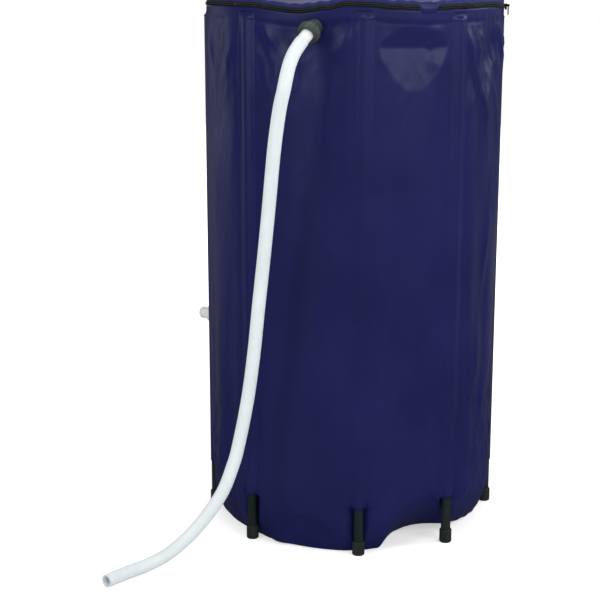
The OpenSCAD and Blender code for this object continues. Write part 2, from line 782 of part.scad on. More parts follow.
module overflow_hose_tail() {
    barb_r = overflow_pipe_r - 2;
    bore_r = barb_r - 2;
    barb_step = tail_barb_l / 3;
    tail_start = union_l;
    color(white) at_tail() rotate_extrude($fn = part_fn)
        polygon(concat(
            [[bore_r, tail_start], [union_r - 0.5, tail_start], [union_r - 0.5, tail_start + tail_flange_t],
             [overflow_pipe_r, tail_start + tail_flange_t], [overflow_pipe_r, tail_end],
             [barb_r - 0.6, tail_end]],
            [for (k = [1 : 3]) each [
                [barb_r + 0.4, tail_end + k * barb_step - barb_step * 0.8],
                [barb_r - 0.6, tail_end + k * barb_step]]],
            [[bore_r, tail_end + tail_barb_l]]));
}

module overflow_union_nut() {
    cap_start = union_l + tail_flange_t + lift_clearance;
    nut_r = nut_d / 2;
    rib_r = 1;
    collar_r = union_r + lift_clearance;
    hole_r = overflow_pipe_r + lift_clearance;
    color(grey) at_tail() {
        rotate_extrude($fn = part_fn)
            polygon([[collar_r, nut_start], [nut_r - 0.8, nut_start], [nut_r, nut_start + 0.8],
                [nut_r, nut_end - 1.5], [nut_r - 1.5, nut_end], [hole_r, nut_end],
                [hole_r, cap_start], [collar_r, cap_start]]);
        for (k = [0 : nut_ribs - 1])
            rotate([0, 0, k * 360 / nut_ribs]) translate([nut_r - 0.4, 0, nut_start + 1.5])
                cylinder(r = rib_r, h = nut_l - 4, $fn = small_fn);
    }
}

// ---------- Overflow hose ----------

function unit(v) = v / norm(v);

function curve_at(points, i, t) =
    let (n = len(points),
         p1 = points[i], p2 = points[i + 1],
         p0 = i > 0 ? points[i - 1] : 2 * p1 - p2,
         p3 = i + 2 < n ? points[i + 2] : 2 * p2 - p1)
    0.5 * (2 * p1 + (p2 - p0) * t + (2 * p0 - 5 * p1 + 4 * p2 - p3) * t * t
        + (3 * p1 - p0 - 3 * p2 + p3) * t * t * t);

function smooth_path(points, steps) = concat(
    [for (i = [0 : len(points) - 2]) for (k = [0 : steps - 1]) curve_at(points, i, k / steps)],
    [points[len(points) - 1]]);

function path_tangent(path, i) = unit(path[min(i + 1, len(path) - 1)] - path[max(i - 1, 0)]);

function tube_ring(path, i, radius, sides) =
    let (t = path_tangent(path, i),
         u = unit(cross(hose_side_axis, t)),
         v = cross(t, u))
    [for (k = [0 : sides - 1])
        let (a = 360 * (k + 0.5) / sides)
            path[i] + radius * (cos(a) * u + sin(a) * v)];

module tube(path, radius, sides) {
    rings = len(path);
    points = [for (i = [0 : rings - 1]) each tube_ring(path, i, radius, sides)];
    sides_faces = [for (i = [0 : rings - 2]) for (k = [0 : sides - 1])
        let (next = (k + 1) % sides) each [
            [i * sides + k, (i + 1) * sides + k, (i + 1) * sides + next],
            [i * sides + k, (i + 1) * sides + next, i * sides + next]]];
    start_face = [for (k = [0 : sides - 1]) k];
    end_face = [for (k = [sides - 1 : -1 : 0]) (rings - 1) * sides + k];
    polyhedron(points = points, faces = concat(sides_faces, [start_face], [end_face]), convexity = 10);
}

module overflow_hose() {
    route = [for (p = hose_points) [p[0], p[1], hose_foot_h + (p[2] - hose_foot_h) * hose_stretch]];
    color(white) tube(smooth_path(route, hose_steps), hose_d / 2, hose_sides);
}

// ---------- Tap ----------

module tap_gasket() {
    color(black) at_tap() outer_saddle(tap_flange_d / 2, shank_d / 2, tap_face);
}

module tap_washer() {
    color(black) at_tap() inner_saddle(tap_flange_d / 2, shank_d / 2);
}

module tap_locknut() {
    color(white) at_tap() locknut(tap_nut_af, shank_d / 2);
}

module tap_body() {
    bore_r = tap_bore_d / 2;
    housing_start = ball_out - housing_l / 2;
    cavity_start = ball_out - cavity_r;
    shank_start = locknut_face - locknut_t - shank_end;
    color(white) at_tap() difference() {
        union() {
            translate([0, 0, shank_start])
                cylinder(d = shank_d, h = housing_start - shank_start, $fn = part_fn);
            translate([0, 0, tap_face]) cylinder(d = tap_flange_d, h = tap_flange_t, $fn = part_fn);
            translate([0, 0, housing_start]) rotate_extrude($fn = part_fn)
                polygon([[0, 0], [housing_d / 2 - 3, 0], [housing_d / 2, 3], [housing_d / 2, housing_l],
                    [0, housing_l]]);
            translate([0, 0, ball_out]) rotate([-90, 0, 0])
                cylinder(r = spindle_d / 2 + 3, h = handle_base - lift_clearance, $fn = part_fn);
        }
        translate([0, 0, -over]) cylinder(r = bore_r, h = housing_end + 2 * over, $fn = part_fn);
        translate([0, 0, cavity_start])
            cylinder(r = cavity_r, h = housing_end - cavity_start + over, $fn = part_fn);
        translate([0, 0, ball_out]) rotate([-90, 0, 0])
            cylinder(r = spindle_d / 2 + running_clearance, h = handle_base + over, $fn = part_fn);
    }
}

// Two seats hold the ball from the inlet side and from the nozzle side
module tap_seats() {
    seat_hold = 3.4;
    color(grey) at_tap() for (side = [-1, 1])
        translate([0, 0, ball_out]) difference() {
            rotate([side > 0 ? 0 : 180, 0, 0])
                ring(cavity_r, tap_bore_d / 2, ball_r - seat_hold, cavity_r);
            sphere(r = ball_r + running_clearance, $fn = part_fn);
        }
}

module tap_nozzle() {
    plug_start = ball_out + cavity_r;
    nozzle_r = nozzle_d / 2;
    grip_r = housing_d / 2 - 2;
    color(white) at_tap() rotate_extrude($fn = part_fn)
        polygon([[tap_bore_d / 2, plug_start], [cavity_r, plug_start], [cavity_r, housing_end],
            [grip_r, housing_end], [grip_r, nozzle_start], [nozzle_r, nozzle_start],
            [nozzle_r, nozzle_start + nozzle_l - 2], [nozzle_r - 2, nozzle_start + nozzle_l],
            [tap_bore_d / 2, nozzle_start + nozzle_l]]);
}

module at_ball() {
    at_tap() translate([0, 0, ball_out]) rotate([-90, 0, 0]) children();
}

// The ball with its bore across the flow, as it stands when the tap is shut
module tap_ball() {
    color(steel) at_ball() difference() {
        sphere(r = ball_r, $fn = part_fn);
        rotate([0, 90, 0]) cylinder(d = tap_bore_d, h = 3 * ball_r, center = true, $fn = part_fn);
        translate([-ball_r, -tongue_w / 2, ball_r - tongue_w]) cube([2 * ball_r, tongue_w, 2 * tongue_w]);
    }
}

module tap_handle() {
    hub_r = spindle_d / 2 + 4;
    spindle_bottom = ball_r + tongue_gap;
    blade_l = lever_l - lever_w / 2;
    color(navy) at_ball() difference() {
        union() {
            translate([0, 0, spindle_bottom])
                cylinder(d = spindle_d, h = handle_base + hub_h - spindle_bottom, $fn = part_fn);
            intersection() {
                translate([0, 0, spindle_bottom - tongue_w])
                    cylinder(d = spindle_d, h = ball_r, $fn = part_fn);
                translate([-spindle_d, -tongue_w / 2 + running_clearance, spindle_bottom - tongue_w])
                    cube([2 * spindle_d, tongue_w - 2 * running_clearance, 2 * tongue_w]);
            }
            translate([0, 0, handle_base]) {
                cylinder(r = hub_r, h = hub_h, $fn = part_fn);
                translate([-blade_l, -lever_w / 2, 1]) cube([blade_l, lever_w, lever_t]);
                translate([-blade_l, 0, 1]) cylinder(d = lever_w, h = lever_t, $fn = part_fn);
            }
        }
        translate([0, 0, handle_base + hub_h - screw_l])
            cylinder(d = screw_d, h = screw_l + over, $fn = small_fn);
    }
}

module tap_handle_screw() {
    head_h = 2;
    head_r = screw_d + 0.2;
    recess_l = 3.6;
    recess_w = 0.8;
    screw_top = handle_base + hub_h;
    color(steel) at_ball() difference() {
        union() {
            translate([0, 0, screw_top]) cylinder(r1 = head_r, r2 = head_r - 0.8, h = head_h, $fn = small_fn);
            translate([0, 0, screw_top - screw_l]) cylinder(d = screw_d, h = screw_l + eps, $fn = small_fn);
        }
        for (turn = [0, 90])
            rotate([0, 0, turn]) translate([-recess_l / 2, -recess_w / 2, screw_top + head_h / 2])
                cube([recess_l, recess_w, head_h]);
    }
}

// ---------- Assembly ----------

tank_wall();
base_panel();
wall_seam_strip();
rod_sleeves();
zip_tape_tank();
zip_coil_tank();
zip_end_stops();
lid_hinge_patch();
lid_panel();
zip_tape_lid();
zip_coil_lid();
inlet_ring();
inlet_clamp_ring();
inlet_rivets();
strainer_basket();
zip_slider();
pull_tab();
overflow_gasket();
overflow_elbow();
overflow_washer();
overflow_locknut();
overflow_union_nut();
overflow_hose_tail();
overflow_hose();
tap_gasket();
tap_body();
tap_nozzle();
tap_seats();
tap_washer();
tap_locknut();
tap_ball();
tap_handle();
tap_handle_screw();
for (i = [1 : rod_count]) {
    support_rod(i);
    foot_cap(i);
    top_plug(i);
}
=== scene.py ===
"""Looks of the collapsible water barrel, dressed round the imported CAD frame.

Angles are in degrees, from the front (-Y) towards the right (+X). Lengths are in metres, except where a
comment says millimetres.
"""

import bpy
import math
import numpy as np
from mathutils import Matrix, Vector


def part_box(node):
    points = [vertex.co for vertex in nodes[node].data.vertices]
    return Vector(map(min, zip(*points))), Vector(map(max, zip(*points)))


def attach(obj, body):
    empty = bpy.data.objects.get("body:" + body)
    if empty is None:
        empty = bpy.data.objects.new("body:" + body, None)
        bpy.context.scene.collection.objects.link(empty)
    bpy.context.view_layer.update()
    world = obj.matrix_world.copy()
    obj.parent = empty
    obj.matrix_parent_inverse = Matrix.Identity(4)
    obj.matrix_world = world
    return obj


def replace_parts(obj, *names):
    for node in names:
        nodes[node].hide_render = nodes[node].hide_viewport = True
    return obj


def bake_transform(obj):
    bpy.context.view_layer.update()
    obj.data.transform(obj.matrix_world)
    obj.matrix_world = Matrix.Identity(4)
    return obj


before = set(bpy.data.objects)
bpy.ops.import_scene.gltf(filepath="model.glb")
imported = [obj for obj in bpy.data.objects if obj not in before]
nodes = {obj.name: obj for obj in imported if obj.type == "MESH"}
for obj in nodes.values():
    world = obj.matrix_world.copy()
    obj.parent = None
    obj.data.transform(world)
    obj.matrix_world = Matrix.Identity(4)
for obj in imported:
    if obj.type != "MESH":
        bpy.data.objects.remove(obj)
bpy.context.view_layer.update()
scene = bpy.context.scene

MM = 0.001
WHITE = (1, 1, 1, 1)


# ---------- Camera ----------

def look(location, yaw, pitch, lens):
    """A camera on a stand at location, turned by yaw from +Y towards +X and tipped down by pitch."""
    data = bpy.data.cameras.new("camera")
    data.lens, data.sensor_width = lens, 36
    data.clip_start, data.clip_end = 0.05, 30
    cam = bpy.data.objects.new("camera", data)
    scene.collection.objects.link(cam)
    cam.location = location
    cam.rotation_euler = (math.radians(90 - pitch), 0, math.radians(-yaw))
    scene.camera = cam


look(location=(-0.0098, -2.086, 0.8085), yaw=-1.95, pitch=12.94, lens=82.7)

scene.view_settings.view_transform = "Standard"


# ---------- Sizes taken from the frame ----------

def frame_length(value):
    """A length of the frame to a hundredth of a millimetre, because its meshes hold rounded points."""
    return round(value, 5)


def frame_place(node):
    """Angle in whole degrees, and radius, of the middle of a node's box at rest."""
    low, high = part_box(node)
    x, y = (low[0] + high[0]) / 2, (low[1] + high[1]) / 2
    return round(math.degrees(math.atan2(x, -y))) % 360, frame_length(math.hypot(x, y))


ROD_NUMBERS = range(1, 9)
ROD_ANGLES = [frame_place(f"support_rod_{i}")[0] for i in ROD_NUMBERS]
ROD_RING_R = frame_place("support_rod_1")[1]
HINGE_ANGLE = frame_place("lid_hinge_patch")[0]
SEAM_ANGLE = frame_place("wall_seam_strip")[0]
WALL_R = frame_length(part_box("tank_wall")[1][0])
WALL_TOP = frame_length(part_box("tank_wall")[1][2])
FABRIC_T = frame_length(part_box("base_panel")[1][2])
SLEEVE_BOTTOM, SLEEVE_TOP = (frame_length(corner[2]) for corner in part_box("rod_sleeves"))


# ---------- Mesh helpers ----------

def make_object(name, verts, faces, mat=None):
    """A smooth-shaded mesh object in the scene."""
    mesh = bpy.data.meshes.new(name)
    points = [tuple(v) for v in np.asarray(verts, float)]
    mesh.from_pydata(points, [], [tuple(int(i) for i in face) for face in faces])
    mesh.validate()
    mesh.polygons.foreach_set("use_smooth", [True] * len(mesh.polygons))
    obj = bpy.data.objects.new(name, mesh)
    scene.collection.objects.link(obj)
    if mat is not None:
        mesh.materials.append(mat)
    return obj


def grid_faces(rows, cols, wrap=False):
    """Quads between rows of points; wrap closes each row into a ring."""
    faces = []
    for i in range(rows - 1):
        for j in range(cols if wrap else cols - 1):
            k = (j + 1) % cols
            faces.append((i * cols + j, i * cols + k, (i + 1) * cols + k, (i + 1) * cols + j))
    return faces


def set_uv(obj, per_vertex):
    """Gives the mesh a UV map from one (u, v) per vertex, in metres along and across the fabric."""
    layer = obj.data.uv_layers.new(name="UVMap")
    index = np.zeros(len(obj.data.loops), np.int64)
    obj.data.loops.foreach_get("vertex_index", index)
    layer.data.foreach_set("uv", np.asarray(per_vertex, np.float32)[index].ravel())


def thicken(obj, depth):
    """Gives a sheet its thickness, behind the face that is drawn."""
    mod = obj.modifiers.new("thickness", "SOLIDIFY")
    mod.thickness, mod.offset = depth, -1
    mod.use_even_offset = False


def apply_modifiers(obj):
    """Turns what the modifiers make into the object's own mesh."""
    evaluated = obj.evaluated_get(bpy.context.evaluated_depsgraph_get())
    mesh = bpy.data.meshes.new_from_object(evaluated)
    obj.modifiers.clear()
    obj.data = mesh


def polar(angle, radius, height):
    """Points of the row frame from angles, radii and heights."""
    a = np.radians(angle)
    return np.stack(np.broadcast_arrays(radius * np.sin(a), -radius * np.cos(a), height), axis=-1)


def smooth(t):
    """Runs from 0 to 1 as t does, level at both ends."""
    t = np.clip(t, 0, 1)
    return t * t * (3 - 2 * t)


def fade_in(value, start, width):
    """0 up to start, 1 from start + width on, and smooth between them."""
    return smooth((value - start) / width)


def fade_out(value, end, width):
    """1 up to end - width, 0 from end on, and smooth between them."""
    return smooth((end - value) / width)


def soft_min(a, b, width):
    """The smaller of two lengths, rounded over the given width where they cross."""
    t = np.clip(0.5 + 0.5 * (b - a) / width, 0, 1)
    return b + (a - b) * t - width * t * (1 - t)


def angle_gap(angle, centre):
    """Signed angle from centre to angle, from -180 to 180."""
    return (np.asarray(angle, float) - centre + 180) % 360 - 180


# ---------- Materials ----------

class Nodes:
    """A short way to write the node tree of a material or of the world."""

    def __init__(self, owner, output="OutputMaterial"):
        owner.use_nodes = True
        self.owner = owner
        self.tree = owner.node_tree
        self.tree.nodes.clear()
        self.out = self.add(output)

    def add(self, kind, inputs=None, **settings):
        node = self.tree.nodes.new("ShaderNode" + kind)
        for key, value in settings.items():
            setattr(node, key, value)
        for key, value in (inputs or {}).items():
            socket = node.inputs[key]
            if isinstance(value, bpy.types.NodeSocket):
                self.tree.links.new(value, socket)
            else:
                socket.default_value = value
        return node

    def show(self, shader):
        """Sends a shader to the output."""
        self.tree.links.new(shader.outputs[0], self.out.inputs["Surface"])

    def ramp(self, factor, *stops):
        """A colour between two stops, each with its place and its colour."""
        node = self.add("ValToRGB", {"Fac": factor})
        for element, (place, colour) in zip(node.color_ramp.elements, stops):
            element.position = place
            element.color = (*colour, 1)
        return node.outputs[0]

    def scaled(self, value, low, high, start=0.0, end=1.0):
        """A value that runs from low to high while the given one runs from start to end."""
        limits = {"Value": value, "From Min": start, "From Max": end, "To Min": low, "To Max": high}
        return self.add("MapRange", limits).outputs[0]

    def noise(self, scale, detail, vector, roughness=0.5, distortion=0.0):
        return self.add("TexNoise", {"Scale": scale, "Detail": detail, "Roughness": roughness,
                                     "Distortion": distortion, "Vector": vector}).outputs["Fac"]

    def bands(self, scale, vector, direction):
        return self.add("TexWave", {"Vector": vector, "Scale": scale}, wave_type="BANDS",
                        bands_direction=direction).outputs["Fac"]

    def bump(self, height, distance, strength, normal=None):
        """A normal with a relief of that depth, laid over another normal if one is given."""
        inputs = {"Height": height, "Distance": distance, "Strength": strength}
        if normal is not None:
            inputs["Normal"] = normal
        return self.add("Bump", inputs).outputs[0]

    def place(self):
        return self.add("TexCoord").outputs["Object"]

    def stretched(self, scale):
        return self.add("Mapping", {"Vector": self.place(), "Scale": scale}).outputs[0]

    def uv(self):
        return self.add("UVMap", uv_map="UVMap").outputs[0]

    def finish(self, **sockets):
        self.show(self.add("BsdfPrincipled", {k.replace("_", " "): v for k, v in sockets.items()}))
        return self.owner


def linear(r, g, b):
    """A displayed colour from 0 to 255 as the linear one that shaders take."""
    return tuple(((c / 255 + 0.055) / 1.055) ** 2.4 if c > 10 else c / 255 / 12.92 for c in (r, g, b))


def coated_fabric(name, dark, pale, rough, specular=0.26):
    """PVC-coated cloth: satin, with a leathery grain, fine crumples and the scrim showing through."""
    threads = 180.0
    n = Nodes(bpy.data.materials.new(name))
    place = n.place()
    colour = n.ramp(n.noise(7, 4, place), (0.3, dark), (0.7, pale))
    gloss = n.scaled(n.noise(22, 5, place), *rough)
    crumple = n.noise(34, 6, place, roughness=0.62, distortion=0.6)
    normal = n.bump(crumple, 0.0006, 0.55)
    grain = n.add("TexVoronoi", {"Vector": place, "Scale": 420.0}, feature="DISTANCE_TO_EDGE")
    normal = n.bump(grain.outputs["Distance"], 0.00012, 0.35, normal)
    uv = n.uv()
    scrim = n.add("Math", {0: n.bands(threads, uv, "X"), 1: n.bands(threads, uv, "Y")}, operation="MAXIMUM")
    normal = n.bump(scrim.outputs[0], 0.00008, 0.4, normal)
    return n.finish(Base_Color=colour, Roughness=gloss, Normal=normal, Specular_IOR_Level=specular)


def moulded(name, dark, pale, rough=(0.35, 0.5), grain=900.0, streak=(6, 6, 1), specular=0.4):
    """Moulded or drawn plastic and rubber: fine grain, soft streaks, scuffs and small changes of tone."""
    n = Nodes(bpy.data.materials.new(name))
    colour = n.ramp(n.noise(14, 4, n.stretched(streak)), (0.32, dark), (0.68, pale))
    gloss = n.scaled(n.noise(60, 4, n.place()), *rough)
    normal = n.bump(n.noise(grain, 2, n.place()), 0.00008, 0.5)
    scuffs = n.noise(120, 6, n.stretched((1, 1, 8)), roughness=0.7)
    normal = n.bump(scuffs, 0.00006, 0.4, normal)
    return n.finish(Base_Color=colour, Roughness=gloss, Normal=normal, Specular_IOR_Level=specular)


def metal(name, dark, pale, rough=(0.22, 0.42)):
    """Tumbled or plated metal: small changes of tone and gloss over a fine relief."""
    n = Nodes(bpy.data.materials.new(name))
    place = n.place()
    colour = n.ramp(n.noise(300, 4, place), (0.3, dark), (0.7, pale))
    gloss = n.scaled(n.noise(900, 4, place), *rough)
    normal = n.bump(n.noise(1500, 3, place), 0.00003, 0.5)
    return n.finish(Base_Color=colour, Roughness=gloss, Normal=normal, Metallic=1.0)


pvc = coated_fabric("pvc_navy", linear(22, 25, 75), linear(28, 31, 86), rough=(0.3, 0.42), specular=0.21)
# The lid's cloth is the wall's navy PVC in paler colours: painted sheen for the light its upward face
# reflects, with its own gloss kept low.
lid_pvc_painted_sheen = coated_fabric("pvc_navy_lid_painted_sheen", linear(32, 35, 88), linear(40, 43, 100), rough=(0.5, 0.62),
                        specular=0.16)
tape_cloth = coated_fabric("zip_tape", linear(18, 22, 22), linear(30, 34, 30), rough=(0.7, 0.85))
coil_plastic = moulded("zip_coil", linear(24, 29, 24), linear(36, 42, 34), rough=(0.4, 0.55))
slider_metal = metal("slider_metal", linear(30, 32, 32), linear(52, 54, 54))
steel = metal("steel", linear(170, 172, 176), linear(205, 206, 208))
chrome = metal("chrome", linear(214, 216, 220), linear(232, 234, 236), rough=(0.06, 0.14))
black_plastic = moulded("black_plastic", linear(30, 32, 34), linear(40, 42, 44))
rod_plastic = moulded("rod_plastic", linear(26, 36, 36), linear(35, 45, 44), streak=(10, 10, 0.6),
                      specular=0.25)
rubber = moulded("black_rubber", linear(26, 34, 33), linear(36, 44, 42), rough=(0.6, 0.78), grain=500.0)
grey_plastic = moulded("grey_plastic", linear(54, 62, 60), linear(67, 76, 74))
white_plastic = moulded("white_plastic", linear(226, 229, 226), linear(240, 242, 240), rough=(0.28, 0.42))
hose_plastic = moulded("hose_plastic", linear(224, 232, 234), linear(234, 241, 243), rough=(0.3, 0.45),
                       streak=(1, 1, 1), grain=260.0)
lever_plastic = moulded("lever_plastic", linear(30, 33, 84), linear(40, 43, 98))


def paint(mat, *names):
    """Gives CAD nodes their material."""
    for name in names:
        slots = nodes[name].data.materials
        slots.clear()
        slots.append(mat)


paint(slider_metal, "zip_slider", "pull_tab", "zip_end_stops")
paint(steel, "inlet_rivets", "tap_handle_screw")
paint(chrome, "tap_ball")
paint(black_plastic, "inlet_ring", "inlet_clamp_ring", "strainer_basket")
paint(black_plastic, *(f"top_plug_{i}" for i in ROD_NUMBERS))
paint(rod_plastic, *(f"support_rod_{i}" for i in ROD_NUMBERS))
paint(rubber, "overflow_gasket", "overflow_washer", "tap_gasket", "tap_washer")
paint(rubber, *(f"foot_cap_{i}" for i in ROD_NUMBERS))
paint(grey_plastic, "overflow_elbow", "overflow_locknut", "overflow_union_nut", "tap_seats")
paint(white_plastic, "overflow_hose_tail", "tap_body", "tap_nozzle", "tap_locknut")
paint(lever_plastic, "tap_handle")


# ---------- Overflow hose ----------

HOSE_D = 18.5 * MM
HOSE_WALL = 2.2 * MM
# A direction that the route never runs along, from which the rings round it are turned
HOSE_SIDE = Vector((0.75, -0.66, 0))
# The route from the union nut to the floor, in millimetres
HOSE_ROUTE = [
    (-69.9, -244, 734.1), (-73.4, -249.7, 729.7), (-80.3, -261.1, 718.5), (-85.7, -270, 704.5),
    (-89.6, -276, 688), (-93, -279, 671), (-97, -278, 654), (-101.5, -275, 627), (-107, -268, 585),
    (-114, -258, 515), (-121.5, -250, 445), (-129.5, -244, 375), (-137, -240, 305),
    (-147, -238, 235), (-161, -238, 166), (-169, -240, 139), (-179, -243, 112), (-190, -246, 92),
    (-205, -250, 70.5), (-223, -256, 49.5), (-243, -264, 31.5), (-265, -275, 17.5),
    (-289, -290, 10.5), (-312, -312, 9.5), (-335, -340, 9.5)]


def spline(points, steps):
    """Points along a smooth curve through the given ones."""
    p = [Vector(q) for q in points]
    out = []
    for i in range(len(p) - 1):
        a = p[i - 1] if i else 2 * p[0] - p[1]
        d = p[i + 2] if i + 2 < len(p) else 2 * p[-1] - p[-2]
        b, c = p[i], p[i + 1]
        for k in range(steps):
            t = k / steps
            out.append(0.5 * (2 * b + (c - a) * t + (2 * a - 5 * b + 4 * c - d) * t * t
                              + (3 * b - a - 3 * c + d) * t * t * t))
    out.append(p[-1])
    return out


def tube_rings(path, radius, sides):
    """Rings of points round a path."""
    turns = [2 * math.pi * k / sides for k in range(sides)]
    rings = []
    for i, p in enumerate(path):
        along = (path[min(i + 1, len(path) - 1)] - path[max(i - 1, 0)]).normalized()
        u = HOSE_SIDE.cross(along).normalized()
        v = along.cross(u)
        rings.append([p + radius * (math.cos(turn) * u + math.sin(turn) * v) for turn in turns])
    return rings


def overflow_hose():
    """The hose: a tube with a bore that reaches a short way in at both ends."""
    path = [p * MM for p in spline(HOSE_ROUTE, 6)]
    sides, bored_rings = 28, 16
    outer = tube_rings(path, HOSE_D / 2, sides)
    near = tube_rings(path[:bored_rings], HOSE_D / 2 - HOSE_WALL, sides)
    far = tube_rings(path[-bored_rings:], HOSE_D / 2 - HOSE_WALL, sides)
    rings = near[::-1] + outer + far[::-1]
    verts = [p for ring in rings for p in ring]
    faces = grid_faces(len(rings), sides, wrap=True)
    faces += [tuple(range(sides))[::-1], tuple(range(len(verts) - sides, len(verts)))]
    hose = make_object("overflow_hose_tube", verts, faces, hose_plastic)
    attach(hose, "tank")
    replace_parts(hose, "overflow_hose")


overflow_hose()


# ---------- Shape of the fabric ----------

# The hem, where the wall meets the base panel: angle, radius and lift, in degrees and millimetres
HEM = [
    (-92, 203, 0), (-81, 203, 1), (-68, 198, 0), (-55, 196, 0), (-43, 197, 0), (-37, 200, 0), (-30, 209, 2),
    (-24, 204, 1), (-3, 204, 0), (5, 201, 0), (11, 197, 0), (16, 197, 5), (22, 196, 11), (30, 196, 14),
    (38, 196, 14), (46, 194, 13), (52, 190, 11), (60, 190, 7), (70, 192, 3), (78, 196, 1), (88, 202, 1),
    (93, 202, 0), (104, 206, 0), (122, 203, 0), (138, 200, 0), (150, 207, 1), (165, 199, 0), (183, 201, 0),
    (196, 207, 0), (212, 200, 2), (228, 199, 0), (240, 206, 0), (256, 203, 0)]

# The rim's waves: angle, and height over the rim's own, in degrees and millimetres
RIM = [
    (-87, 3), (-66, 4.5), (-43, 3.5), (-20, -4), (-10, 0), (-3, 5), (5, 4), (14, 1), (27, -1), (41, 1),
    (60, 2.5), (80, 0), (95, 1), (115, -3), (138, 3), (160, -3), (183, 3), (205, -3), (228, 3), (250, -3)]

# The rim's waves have died away at this height
RIM_WAVES_BOTTOM = 0.68

# Creases of the wall: angle and height of both ends, half width, and how far they stand out, in degrees and
# millimetres
CREASES = [
    # Left of the overflow, and under it
    (-35, 752, -26, 712, 5, 2.6), (-38, 742, -31, 690, 9, -2.0), (-24, 722, -21, 660, 10, 1.6),
    (-1, 752, -7, 706, 7, 3.4), (-6, 716, -12, 590, 12, 2.8), (-15, 700, -14, 430, 14, -3.2),
    (-46, 750, -64, 640, 14, 3.0), (-50, 735, -50, 520, 34, 3.6), (-58, 640, -74, 540, 14, -2.0),
    (-84, 752, -72, 690, 8, 2.6), (-72, 748, -66, 640, 12, -2.0), (-80, 600, -60, 470, 16, 1.6),
    # In and round the front pocket
    (27, 733, 30, 722, 2.5, 1.6), (29, 714, 31, 696, 3, 1.6), (28, 752, 36, 742, 3, 1.2),
    (8, 716, 11, 694, 3, 1.2), (34, 716, 30, 668, 8, 1.2),
    # The upper right
    (44, 750, 51, 690, 7, 4.2), (51, 692, 64, 600, 9, 4.4), (46, 716, 56, 600, 10, -3.0),
    (56, 700, 58, 640, 7, 2.0), (52, 742, 57, 722, 4, 2.2), (57, 728, 50, 706, 4, 1.8),
    (89, 754, 79, 700, 6, 3.6), (69, 756, 77, 694, 7, 3.4), (65, 745, 68, 640, 10, -3.0),
    (75, 744, 82, 728, 4, 2.0), (84, 736, 76, 716, 4, 2.0), (66, 700, 76, 560, 12, 3.4),
    (76, 560, 78, 430, 14, 2.0), (84, 740, 88, 640, 5, 2.6), (62, 560, 74, 400, 14, -2.0),
    # The long fold on the right, and the shorter ones beside it
    (48, 36, 53, 200, 14, 6.0), (53, 200, 60, 350, 13, 6.0), (60, 350, 69, 580, 12, 4.4),
    (73, 270, 64, 70, 12, 1.6), (47, 240, 44, 100, 10, -2.4), (84, 420, 74, 40, 11, 2.4),
    (66, 470, 60, 120, 16, -3.0), (92, 330, 84, 120, 8, -2.2), (81, 150, 88, 60, 8, -2.0),
    # Above the hem
    (-37, 80, -29, 26, 8, 2.4), (12, 160, 22, 66, 14, -3.2), (33, 200, 24, 60, 14, 2.0),
    (-70, 150, -57, 36, 11, 2.8), (-85, 130, -72, 40, 9, -2.0), (6, 330, 16, 180, 16, 2.0),
    (36, 420, 24, 240, 20, -1.8),
]

# On the sides that the front doesn't show, tension folds fan out from the rods' ends
for top, lean in ((93, 9), (138, -10), (138, 8), (183, -8), (183, 10), (228, -9), (228, 8), (273, -9)):
    CREASES += [
        (top + 0.3 * lean, 750, top + 1.5 * lean, 668, 8, 3.6),
        (top + 1.4 * lean, 680, top + 2.2 * lean, 550, 12, 2.8),
        (top + 0.9 * lean, 740, top + 2.1 * lean, 716, 5, 2.0),
        (top + 1.2 * lean, 50, top + 0.5 * lean, 170, 10, 2.8),
        (top + 1.0 * lean, 300, top + 1.9 * lean, 430, 16, -2.0)]

# How far the crest of a crease is rounded, in millimetres, and its sides' widths, as shares of the half width
CREST, WIDE_SIDE, STEEP_SIDE = 1.2, 1.5, 0.8

# Where the fabric is crumpled: angle, height, half sizes of the patch, in degrees and millimetres, and how
# strongly
CRUMPLES = [
    (58, 690, 12, 70, 1.2), (80, 715, 12, 50, 1.3), (70, 110, 22, 110, 1.2), (-66, 700, 20, 60, 0.8),
    (-26, 720, 10, 40, 0.8), (25, 690, 14, 60, 0.12), (-20, 45, 24, 50, 0.7), (30, 120, 22, 90, 0.6),
    (-70, 90, 22, 80, 0.8), (115, 690, 20, 80, 1.0), (160, 700, 18, 60, 0.8), (205, 690, 20, 80, 1.0),
    (250, 700, 20, 70, 0.9), (120, 90, 30, 90, 0.9), (200, 90, 40, 90, 0.9), (250, 90, 20, 90, 0.9)]
CRUMPLE_EVERYWHERE = 0.16

# Tucks above the hem, crescents that fall in: middle angle, half width in degrees, and height in millimetres
TUCKS = [(-18, 13, 50), (-62, 11, 44), (116, 15, 44), (207, 13, 48), (250, 12, 42)]
TUCK_DEPTH = 4.2 * MM

# Slack pockets under the rim, where the solids have theirs: middle angle, depth, and the heights of the lower
# end, the deepest line and the upper end, in millimetres
POCKET_HEIGHTS = (656, 725, 756)
POCKETS = [
    (22, 6.8, POCKET_HEIGHTS), (67, 3.25, POCKET_HEIGHTS), (115.5, 5.85, POCKET_HEIGHTS),
    (205.5, 5.85, POCKET_HEIGHTS), (250.5, 4.9, POCKET_HEIGHTS), (-65, 3.25, POCKET_HEIGHTS),
    # A small one by the overflow, only in the cloth
    (-8, 3.6, (712, 753, 762))]
# Radius of the double cone that cuts a solid's pocket, in millimetres
POCKET_R = 250
# The cloth's pockets are a little wider than the solids', and more a flat cut than a hollow
POCKET_SPREAD, POCKET_HOLLOW = 0.9, 0.35

# The pleat that draws the foot in behind the second rod, as in the solids, in degrees and millimetres
PLEAT_ANGLE, PLEAT_IN, PLEAT_H, PLEAT_R = 32, 152, 76, 95

# Behind a rod the wall has a slot under the sleeve, and a softer hollow below it
SLOT_DEPTH, SLOT_HALF_W = 14.7 * MM, 9.6 * MM
HOLLOW_DEPTH, HOLLOW_HALF_W = 13.0 * MM, 14 * MM

# The wall is drawn in over this height above a hem of this radius, and higher up where the hem is narrower
DRAW_H, DRAW_HEM_R, DRAW_POWER = 62 * MM, 204 * MM, 1.9

